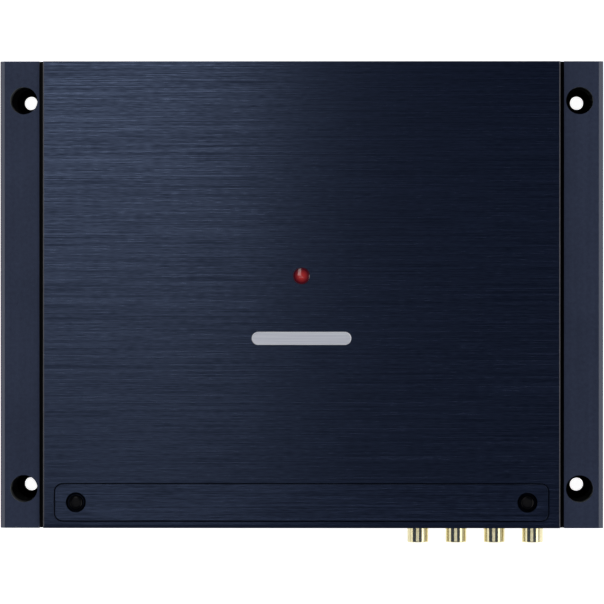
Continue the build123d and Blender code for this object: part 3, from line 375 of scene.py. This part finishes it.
def circuit_board():
    """Green solder mask over copper tracks, with tinned pads."""
    g = Graph("circuit_board", coat_weight=0.6, coat_roughness=0.15)
    brick = g.nodes.new("ShaderNodeTexBrick")
    g.feed(brick.inputs["Vector"], g.place)
    g.feed(brick.inputs["Scale"], 1 / BOARD_BLOCK)
    g.feed(brick.inputs["Mortar Size"], 0.05)
    tracks = brick.outputs["Fac"]
    cloud = g.noise(even(14 * MM), 3.0)
    mask = g.mix(g.spread(cloud), (0.006, 0.050, 0.018), (0.010, 0.085, 0.032))
    pads = g.math("GREATER_THAN", g.noise(even(1.6 * MM), 0.0, 3), PAD_LEVEL)
    lined = g.mix(g.times(tracks, 0.7), mask, (0.02, 0.16, 0.06))
    g.set(base_color=g.mix(pads, lined, (0.55, 0.55, 0.52)), metallic=pads)
    g.set(roughness=g.spread(cloud, 0.3, 0.45))
    g.bump(tracks, 0.03 * MM)
    return g.material


def wound_copper():
    """Enamelled wire laid close round the ring core."""
    g = Graph("copper_wire", metallic=0.9, coat_weight=0.6, coat_roughness=0.12, roughness=0.3)
    low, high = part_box("transformer_winding")
    middle = (low + high) / 2
    angle = g.math("ARCTAN2", g.math("SUBTRACT", g.y, middle.y), g.math("SUBTRACT", g.x, middle.x))
    turns = g.math("SINE", g.times(angle, WIRE_TURNS))
    shade = g.noise(even(3 * MM), 2.0)
    g.set(base_color=g.mix(shade, (0.40, 0.12, 0.04), (0.72, 0.28, 0.12)))
    g.bump(turns, 0.4 * MM)
    return g.material


def device_case():
    """Black epoxy in front of a tinned tab."""
    g = Graph("device_epoxy")
    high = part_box("power_transistors")[1]
    grain = g.noise(even(0.2 * MM), 3.0)
    tab = g.math("GREATER_THAN", g.math("ABSOLUTE", g.x), high.x - TAB_THICKNESS)
    g.set(base_color=g.mix(tab, (0.012, 0.012, 0.013), (0.6, 0.6, 0.6)), metallic=tab)
    g.set(roughness=g.spread(grain, 0.4, 0.55))
    g.bump(grain, 0.02 * MM)
    return g.material


def dress(material, *names):
    """Gives CAD nodes their one material."""
    for name in names:
        slots = NODES[name].data.materials
        slots.clear()
        slots.append(material)


def names_like(start):
    """The CAD nodes whose names start alike."""
    return [name for name in NODES if name.startswith(start)]


def finish_cad_pieces():
    black = moulded("black_plastic", (0.008, 0.008, 0.009), (0.018, 0.018, 0.019))
    zinc = worn_metal("zinc_steel", (0.46, 0.46, 0.46), (0.66, 0.66, 0.64), 0.28)
    nickel = worn_metal("nickel_plate", (0.50, 0.48, 0.44), (0.72, 0.70, 0.65), 0.20)
    black_screw = worn_metal("black_screws", (0.005, 0.005, 0.006), (0.020, 0.019, 0.018), 0.10)
    knob = moulded("knob_plastic", (0.12, 0.12, 0.125), (0.17, 0.17, 0.175), 0.34)
    lever = moulded("lever_plastic", (0.5, 0.5, 0.5), (0.62, 0.62, 0.60), 0.4)
    amber = moulded("fuse_plastic", (0.62, 0.36, 0.02), (0.72, 0.46, 0.05), 0.2, coat_weight=0.5,
                    transmission_weight=0.25)
    ferrite = moulded("ferrite", (0.022, 0.022, 0.025), (0.04, 0.04, 0.045), 0.55)
    sleeve = moulded("capacitor_sleeve", (0.01, 0.01, 0.02), (0.02, 0.02, 0.035), 0.25, coat_weight=0.4)
    dress(brushed_panel("panel_brushed", 0.0, 1.0), "top_panel")
    dress(brushed_panel("cover_brushed", 11.3, 1.2), "control_cover")
    dress(rail_metal(), "side_rail_left", "side_rail_right")
    dress(anodised_case(), "heatsink_chassis")
    dress(powder_coat(), "bottom_cover", "input_end_panel", "output_end_panel")
    dress(black_screw, "cover_screws", "case_screws")
    dress(zinc, "rail_screws", "inner_screws", "board_pillars", "transistor_clamps")
    dress(nickel, "power_terminal_contacts", "speaker_terminal_contacts", "fuse_contacts")
    dress(nickel, *names_like("power_terminal_screw"), *names_like("speaker_terminal_screw"))
    dress(bright_metal(), "badge_plate")
    dress(red_lens(), "indicator_lens")
    dress(black, "control_bezel", "switch_bodies", "rca_block", "speaker_input_socket", "remote_socket")
    dress(black, "power_terminal_block", "speaker_terminal_block", "fuse_holder")
    dress(knob, *names_like("gain_knob"), *names_like("frequency_knob"))
    dress(lever, *names_like("filter_switch"), "input_mode_switch")
    dress(circuit_board(), "main_board", "control_board")
    dress(moulded("pot_blue", (0.01, 0.035, 0.16), (0.016, 0.05, 0.22), 0.35), "pot_bodies")
    dress(gold_plate(), "rca_barrels", "rca_centre_contacts", "socket_pins")
    dress(phono_plastic(), "rca_insulators")
    dress(amber, "fuse_1", "fuse_2")
    dress(device_case(), "power_transistors")
    dress(moulded("pad_grey", (0.24, 0.25, 0.27), (0.30, 0.31, 0.33), 0.6), "thermal_pads")
    dress(ferrite, "transformer_core", "output_inductors")
    dress(wound_copper(), "transformer_winding")
    dress(sleeve, "capacitors")


# ---------------------------------------------------------------- studio
WALL = (0.85, 0.85, 0.85)
CEILING = (0.012, 0.029, 0.090)
CEILING_FADE = (0.15, 0.7)  # upward parts of a direction where the walls end and the ceiling starts
FLOOR_HALF = 6.0
FLOOR_DROP = 0.1 * MM
CAMERA_PLACE = (0.042, 0.021, 2.656)
CAMERA_LENS = 406.7
CAMERA_FILM = 36.0
AIM_SHIFT = (0.19 * MM, 0.60 * MM, 0)  # from the middle of the object's box
OBJECT_MIDDLE = (0.0, 0.0, 0.03)
LIGHTS = (  # name, place, aim, size and watts
    ("key", (-0.108, 0.23, 0.50), (-0.108, 0.23, 0.0), (0.165, 0.42), 0.40),
    ("left_side", (-1.3, -0.4, 0.6), OBJECT_MIDDLE, (1.6, 0.4), 2.1),
    ("right_side", (1.2, -0.3, 0.9), OBJECT_MIDDLE, (1.6, 0.5), 6.0),
    ("front_strip", (-0.03, -0.132, 1.0), (-0.03, -0.132, 0.0), (0.54, 0.07), 0.13),
)


def area_light(name, place, aim, size, power):
    """A soft rectangular light that the camera doesn't see."""
    data = bpy.data.lights.new(name, "AREA")
    data.shape = "RECTANGLE"
    data.size, data.size_y = size
    data.energy = power
    light = bpy.data.objects.new(name, data)
    light.location = place
    ahead = (Vector(aim) - Vector(place)).normalized()
    along = Vector((1, 0, 0)) if abs(ahead.x) < 0.5 else Vector((0, 1, 0))
    across = (along - ahead * along.dot(ahead)).normalized()
    light.rotation_euler = Matrix((across, across.cross(ahead), -ahead)).transposed().to_euler()
    light.visible_camera = False
    bpy.context.scene.collection.objects.link(light)


def make_floor():
    """A plain white floor just under the object."""
    mesh = bpy.data.meshes.new("floor")
    shape = bmesh.new()
    bmesh.ops.create_grid(shape, x_segments=1, y_segments=1, size=FLOOR_HALF)
    shape.to_mesh(mesh)
    shape.free()
    floor = bpy.data.objects.new("floor", mesh)
    floor.location.z = -FLOOR_DROP
    bpy.context.scene.collection.objects.link(floor)
    g = Graph("floor_white", base_color=(0.86, 0.86, 0.86), roughness=0.9, specular_ior_level=0.1)
    g.set(emission_color=(1, 1, 1), emission_strength=0.97)
    mesh.materials.append(g.material)


def make_world():
    """White studio walls under a dark, slightly blue ceiling."""
    world = bpy.data.worlds.new("studio")
    world.use_nodes = True
    nodes, links = world.node_tree.nodes, world.node_tree.links
    direction = nodes.new("ShaderNodeTexCoord")
    axes = nodes.new("ShaderNodeSeparateXYZ")
    links.new(direction.outputs["Generated"], axes.inputs[0])
    fade = nodes.new("ShaderNodeMapRange")
    fade.interpolation_type = "SMOOTHSTEP"
    for socket, number in zip(list(fade.inputs)[1:3], CEILING_FADE):
        socket.default_value = number
    links.new(axes.outputs[2], fade.inputs[0])
    blend = nodes.new("ShaderNodeMix")
    blend.data_type = "RGBA"
    links.new(fade.outputs[0], blend.inputs[0])
    blend.inputs[6].default_value = (*WALL, 1)
    blend.inputs[7].default_value = (*CEILING, 1)
    links.new(blend.outputs[2], nodes["Background"].inputs["Color"])
    bpy.context.scene.world = world


def make_camera():
    """Straight above, off to the right, and far enough away for the photograph's flat look."""
    data = bpy.data.cameras.new("camera")
    data.sensor_width = CAMERA_FILM
    data.lens = CAMERA_LENS
    data.clip_end = 50.0
    camera = bpy.data.objects.new("camera", data)
    camera.location = CAMERA_PLACE
    low, high = CAD_BOX
    aim = (low + high) / 2 + Vector(AIM_SHIFT)
    aim.z = PANEL_HIGH.z
    ahead = (aim - camera.location).normalized()
    right = ahead.cross(Vector((0, 1, 0))).normalized()
    camera.rotation_euler = Matrix((right, right.cross(ahead), -ahead)).transposed().to_euler()
    bpy.context.scene.collection.objects.link(camera)
    bpy.context.scene.camera = camera


def make_studio():
    make_floor()
    make_world()
    for light in LIGHTS:
        area_light(*light)
    bpy.context.scene.view_settings.view_transform = "Standard"


finish_cad_pieces()
make_camera()
make_studio()
